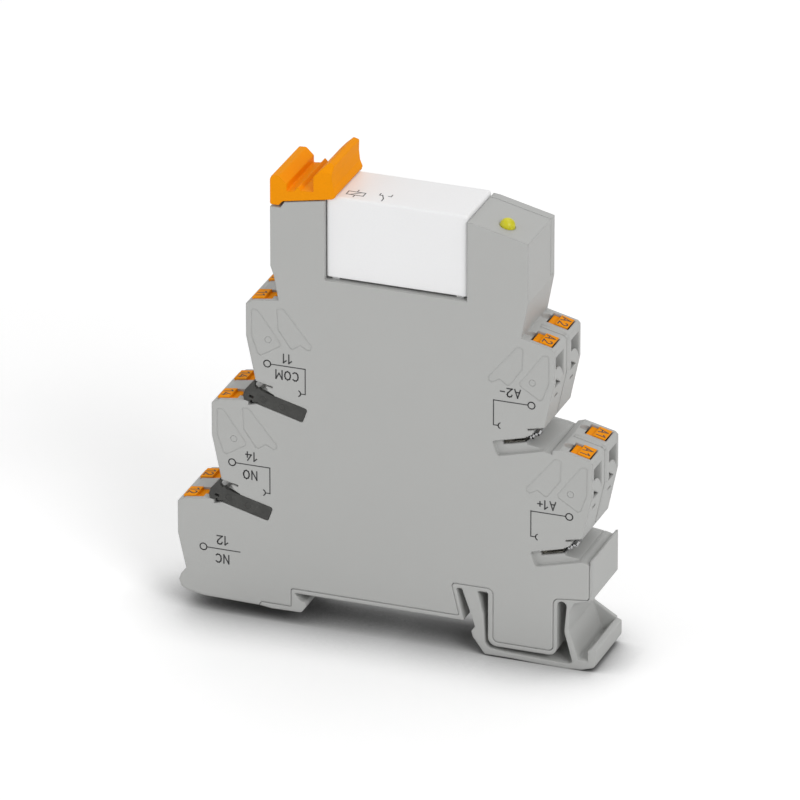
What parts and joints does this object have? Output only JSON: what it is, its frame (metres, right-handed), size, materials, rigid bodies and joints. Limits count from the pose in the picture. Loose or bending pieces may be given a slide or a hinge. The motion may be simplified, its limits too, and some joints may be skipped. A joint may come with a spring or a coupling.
{
  "type": "relay module",
  "caption": "Narrow plug-in relay module for a top-hat rail: stepped push-in terminals with orange release buttons, relay in a tower, retaining bracket, status lamp and spring foot.",
  "frame": {"origin": "middle of the rail seat, at half the module's width", "axes": "+X from the contact terminals to the coil terminals along the module, +Y through its width away from the printed side, +Z away from the rail"},
  "size_m": [0.0807, 0.014, 0.0919],
  "materials": {
    "housing_grey": "fine matt moulded polyamide",
    "cover_black": "fine matt",
    "board_green": "solder mask",
    "component_black": "moulded epoxy",
    "component_beige": "lacquer",
    "can_metal": "brushed",
    "lamp_yellow": "tinted translucent",
    "orange_plastic": "satin moulded",
    "relay_white": "satin moulded",
    "relay_iron": "zinc plated",
    "bobbin_plastic": "moulded",
    "coil_copper": "enamelled copper wire",
    "spring_bronze": "rolled",
    "spring_steel": "rolled",
    "strip_metal": "tin plated copper alloy"
  },
  "bodies": {
    "housing": {"front_housing": "housing_grey", "rear_housing": "housing_grey", "slot_cover_12": "cover_black", "slot_cover_14": "cover_black", "circuit_board": "board_green", "freewheel_diode": "component_black", "series_resistor": "component_beige", "rectifier_bridge": "component_black", "filter_capacitor": "can_metal", "status_led": "lamp_yellow", "lamp_lens": "lamp_yellow", "busbar_12": "strip_metal", "clamp_spring_12_near": "spring_steel", "clamp_spring_12_far": "spring_steel", "busbar_14": "strip_metal", "clamp_spring_14_near": "spring_steel", "clamp_spring_14_far": "spring_steel", "busbar_11": "strip_metal", "clamp_spring_11_near": "spring_steel", "clamp_spring_11_far": "spring_steel", "busbar_a1": "strip_metal", "clamp_spring_a1_near": "spring_steel", "clamp_spring_a1_far": "spring_steel", "busbar_a2": "strip_metal", "clamp_spring_a2_near": "spring_steel", "clamp_spring_a2_far": "spring_steel", "socket_contact_nc": "strip_metal", "socket_contact_no": "strip_metal", "socket_contact_com": "strip_metal", "socket_contact_coil_a": "strip_metal", "socket_contact_coil_b": "strip_metal"},
    "bracket": {"retaining_bracket": "orange_plastic"},
    "relay": {"relay_cap": "relay_white", "relay_base": "relay_white", "relay_yoke": "relay_iron", "relay_core": "relay_iron", "relay_bobbin": "bobbin_plastic", "relay_coil": "coil_copper", "relay_terminal_nc": "strip_metal", "relay_terminal_no": "strip_metal", "relay_terminal_com": "strip_metal", "relay_terminal_coil_a": "strip_metal", "relay_terminal_coil_b": "strip_metal"},
    "armature": {"relay_armature": "relay_iron", "relay_contact_spring": "spring_bronze"},
    "button_12_near": {"push_button_12_near": "orange_plastic"},
    "button_12_far": {"push_button_12_far": "orange_plastic"},
    "button_14_near": {"push_button_14_near": "orange_plastic"},
    "button_14_far": {"push_button_14_far": "orange_plastic"},
    "button_11_near": {"push_button_11_near": "orange_plastic"},
    "button_11_far": {"push_button_11_far": "orange_plastic"},
    "button_a1_near": {"push_button_a1_near": "orange_plastic"},
    "button_a1_far": {"push_button_a1_far": "orange_plastic"},
    "button_a2_near": {"push_button_a2_near": "orange_plastic"},
    "button_a2_far": {"push_button_a2_far": "orange_plastic"}
  },
  "joints": [
    {"name": "bracket_swing", "type": "hinge", "parent": "housing", "child": "bracket", "pos_m": [-0.0206, 0, 0.0775], "axis": [0, -1, 0], "range_deg": [0, 70]},
    {"name": "relay_pull", "type": "slide", "parent": "housing", "child": "relay", "axis": [0, 0, 1], "range_m": [0, 0.006]},
    {"name": "armature_tilt", "type": "hinge", "parent": "relay", "child": "armature", "pos_m": [0.01445, 0, 0.0769], "axis": [0, -1, 0], "range_deg": [0, 1.6], "stiffness_Nm_per_rad": 0.02, "springref_deg": -5.73},
    {"name": "press_12_near", "type": "slide", "parent": "housing", "child": "button_12_near", "axis": [0.5736, 0, -0.8192], "range_m": [0, 0.0015], "stiffness_N_per_m": 400, "springref_m": -0.0005, "deforming": ["clamp_spring_12_near"]},
    {"name": "press_12_far", "type": "slide", "parent": "housing", "child": "button_12_far", "axis": [0.5736, 0, -0.8192], "range_m": [0, 0.0015], "stiffness_N_per_m": 400, "springref_m": -0.0005, "deforming": ["clamp_spring_12_far"]},
    {"name": "press_14_near", "type": "slide", "parent": "housing", "child": "button_14_near", "axis": [0.5736, 0, -0.8192], "range_m": [0, 0.0015], "stiffness_N_per_m": 400, "springref_m": -0.0005, "deforming": ["clamp_spring_14_near"]},
    {"name": "press_14_far", "type": "slide", "parent": "housing", "child": "button_14_far", "axis": [0.5736, 0, -0.8192], "range_m": [0, 0.0015], "stiffness_N_per_m": 400, "springref_m": -0.0005, "deforming": ["clamp_spring_14_far"]},
    {"name": "press_11_near", "type": "slide", "parent": "housing", "child": "button_11_near", "axis": [0.5736, 0, -0.8192], "range_m": [0, 0.0015], "stiffness_N_per_m": 400, "springref_m": -0.0005, "deforming": ["clamp_spring_11_near"]},
    {"name": "press_11_far", "type": "slide", "parent": "housing", "child": "button_11_far", "axis": [0.5736, 0, -0.8192], "range_m": [0, 0.0015], "stiffness_N_per_m": 400, "springref_m": -0.0005, "deforming": ["clamp_spring_11_far"]},
    {"name": "press_a1_near", "type": "slide", "parent": "housing", "child": "button_a1_near", "axis": [-0.5736, 0, -0.8192], "range_m": [0, 0.0015], "stiffness_N_per_m": 400, "springref_m": -0.0005, "deforming": ["clamp_spring_a1_near"]},
    {"name": "press_a1_far", "type": "slide", "parent": "housing", "child": "button_a1_far", "axis": [-0.5736, 0, -0.8192], "range_m": [0, 0.0015], "stiffness_N_per_m": 400, "springref_m": -0.0005, "deforming": ["clamp_spring_a1_far"]},
    {"name": "press_a2_near", "type": "slide", "parent": "housing", "child": "button_a2_near", "axis": [-0.5736, 0, -0.8192], "range_m": [0, 0.0015], "stiffness_N_per_m": 400, "springref_m": -0.0005, "deforming": ["clamp_spring_a2_near"]},
    {"name": "press_a2_far", "type": "slide", "parent": "housing", "child": "button_a2_far", "axis": [-0.5736, 0, -0.8192], "range_m": [0, 0.0015], "stiffness_N_per_m": 400, "springref_m": -0.0005, "deforming": ["clamp_spring_a2_far"]}
  ],
  "couplings": [
    {"joint": "bracket_swing", "follows": "relay_pull", "rad_per_m": 203}
  ]
}
